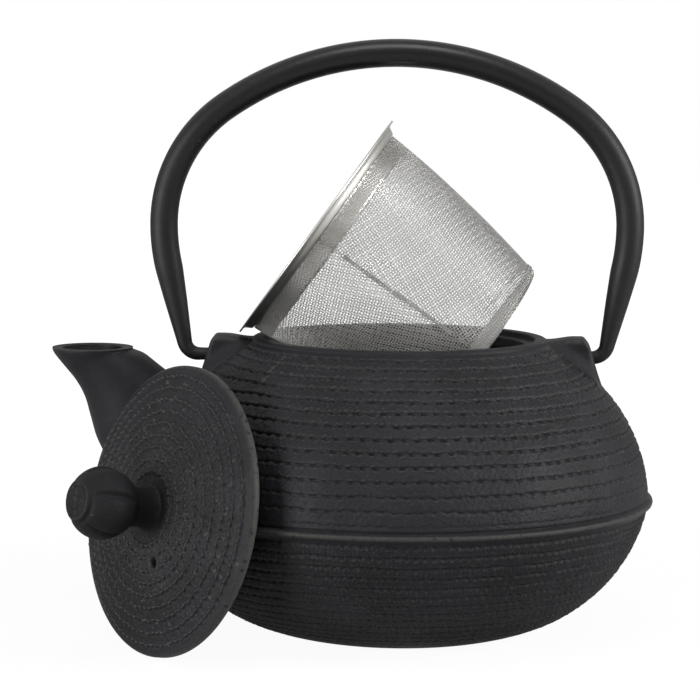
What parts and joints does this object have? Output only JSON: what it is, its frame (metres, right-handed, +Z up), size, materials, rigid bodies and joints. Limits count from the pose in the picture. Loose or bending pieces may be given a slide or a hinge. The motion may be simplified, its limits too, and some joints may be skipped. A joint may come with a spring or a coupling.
{
  "type": "teapot",
  "caption": "Round cast-iron teapot with a swinging arched bail, a short spout, a lift-off lid with a bud knob and a wire-mesh infuser basket.",
  "frame": {"origin": "middle of the base, on the surface that the pot stands on", "axes": "+Z up, the spout points to -X, the bail's pivots lie along X"},
  "size_m": [0.1893, 0.1603, 0.1843],
  "materials": {
    "cast_iron": "charcoal, fine-grained and matt",
    "knob_iron": "black, satin",
    "bail_paint": "black, semi-gloss",
    "fastener_steel": "bright",
    "flange_steel": "polished",
    "mesh_steel": "woven wire"
  },
  "bodies": {
    "pot": {"pot_body": "cast_iron"},
    "bail": {"bail": "bail_paint"},
    "lid": {"lid": "cast_iron", "lid_knob": "knob_iron", "knob_washer": "fastener_steel", "knob_screw": "fastener_steel"},
    "infuser": {"infuser_rim": "flange_steel", "infuser_wall": "mesh_steel", "infuser_floor": "mesh_steel"}
  },
  "joints": [
    {"name": "bail_swing", "type": "hinge", "parent": "pot", "child": "bail", "pos_m": [0, 0, 0.0855], "axis": [1, 0, 0], "range_deg": [-90, 80]},
    {"name": "lid_off", "type": "slide", "parent": "pot", "child": "lid", "axis": [-0.7704, -0.6084, 0.1908], "range_m": [0, 0.11]},
    {"name": "infuser_tip", "type": "hinge", "parent": "pot", "child": "infuser", "pos_m": [0, 0.046, 0.08], "axis": [1, 0, 0], "range_deg": [-75, 0]}
  ]
}
